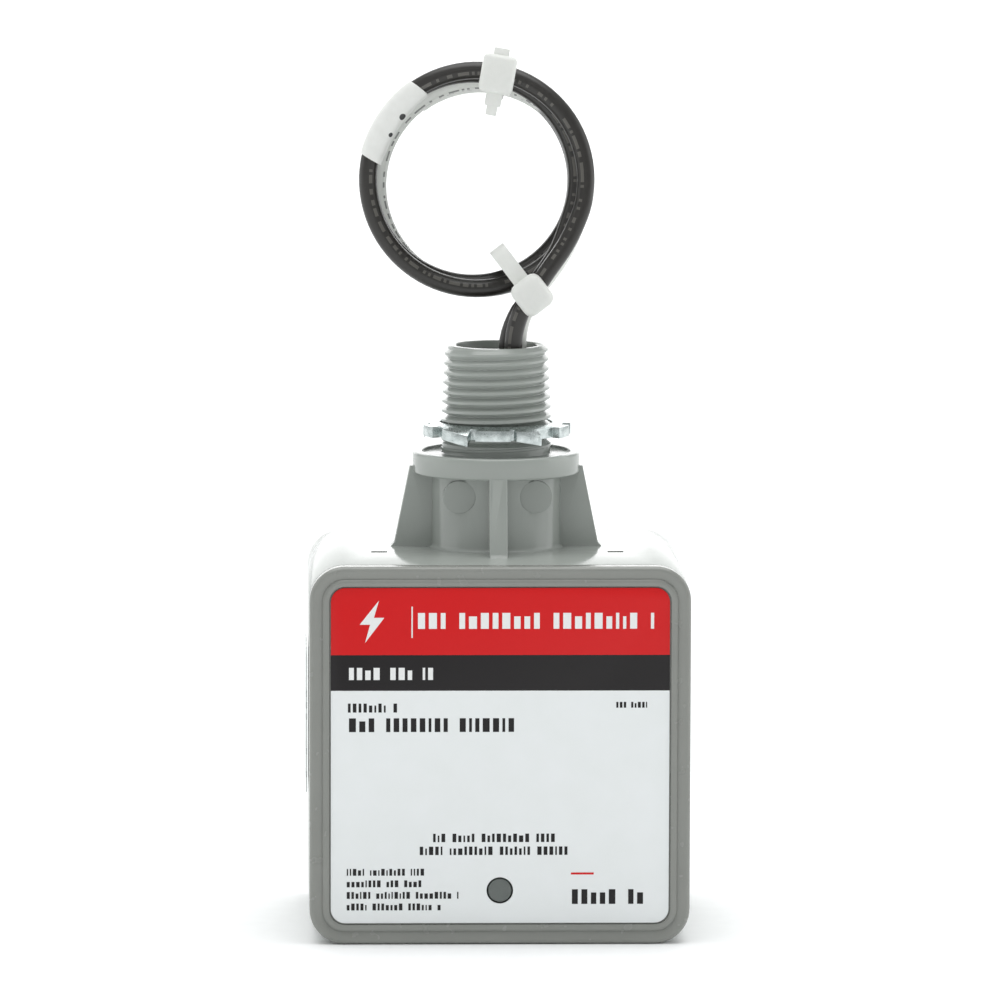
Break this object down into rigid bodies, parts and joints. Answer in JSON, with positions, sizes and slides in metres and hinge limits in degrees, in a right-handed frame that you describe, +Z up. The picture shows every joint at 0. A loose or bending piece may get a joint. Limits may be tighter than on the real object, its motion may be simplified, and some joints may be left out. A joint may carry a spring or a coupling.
{
  "type": "whole house surge protector",
  "caption": "Square moulded surge protector with a labelled front cover, a gusseted neck, threaded nipple, locknut and coiled leads.",
  "frame": {"origin": "middle of the case's flat bottom face, midway between its front and back faces", "axes": "+Z up along the nipple's axis, -Y out of the labelled front face, +X to the right seen from the front"},
  "size_m": [0.0726, 0.0696, 0.1672],
  "materials": {
    "moulded_grey_plastic": "satin moulded",
    "label_film": "printed film, satin",
    "zinc_plated_steel": "bright zinc plate",
    "circuit_board_laminate": "solder mask",
    "blue_epoxy_coating": "dipped epoxy",
    "fuse_metal_case": "tinned",
    "resistor_lacquer": "lacquer",
    "capacitor_case": "moulded",
    "clear_acrylic": "polished",
    "lamp_epoxy": "cast epoxy",
    "tinned_brass": "satin",
    "black_wire_insulation": "extruded, satin",
    "white_wire_insulation": "extruded, satin",
    "natural_nylon": "moulded nylon"
  },
  "bodies": {
    "housing": {"board_screw_1": "zinc_plated_steel", "board_screw_2": "zinc_plated_steel", "board_screw_3": "zinc_plated_steel", "board_screw_4": "zinc_plated_steel", "circuit_board": "circuit_board_laminate", "film_capacitor": "capacitor_case", "front_cover": "moulded_grey_plastic", "front_label": "label_film", "inner_lead_black_1": "black_wire_insulation", "inner_lead_black_2": "black_wire_insulation", "inner_lead_white": "white_wire_insulation", "lead_black_1": "black_wire_insulation", "lead_black_2": "black_wire_insulation", "lead_coil": "black_wire_insulation", "lead_terminal_1": "tinned_brass", "lead_terminal_2": "tinned_brass", "lead_terminal_3": "tinned_brass", "lead_white": "white_wire_insulation", "light_pipe": "clear_acrylic", "lower_tie": "natural_nylon", "neck": "moulded_grey_plastic", "rear_case": "moulded_grey_plastic", "resistor_1": "resistor_lacquer", "resistor_2": "resistor_lacquer", "side_label_left": "label_film", "side_label_right": "label_film", "status_led": "lamp_epoxy", "thermal_fuse_1": "fuse_metal_case", "thermal_fuse_2": "fuse_metal_case", "thermal_fuse_3": "fuse_metal_case", "upper_tie": "natural_nylon", "varistor_1": "blue_epoxy_coating", "varistor_2": "blue_epoxy_coating", "varistor_3": "blue_epoxy_coating", "varistor_4": "blue_epoxy_coating", "varistor_5": "blue_epoxy_coating", "varistor_6": "blue_epoxy_coating", "wire_marker": "label_film"},
    "locknut": {"locknut": "zinc_plated_steel"}
  },
  "joints": [
    {"name": "locknut_spin", "type": "hinge", "parent": "housing", "child": "locknut", "pos_m": [0, 0.0031, 0.09405], "axis": [0, 0, 1], "continuous": true}
  ]
}
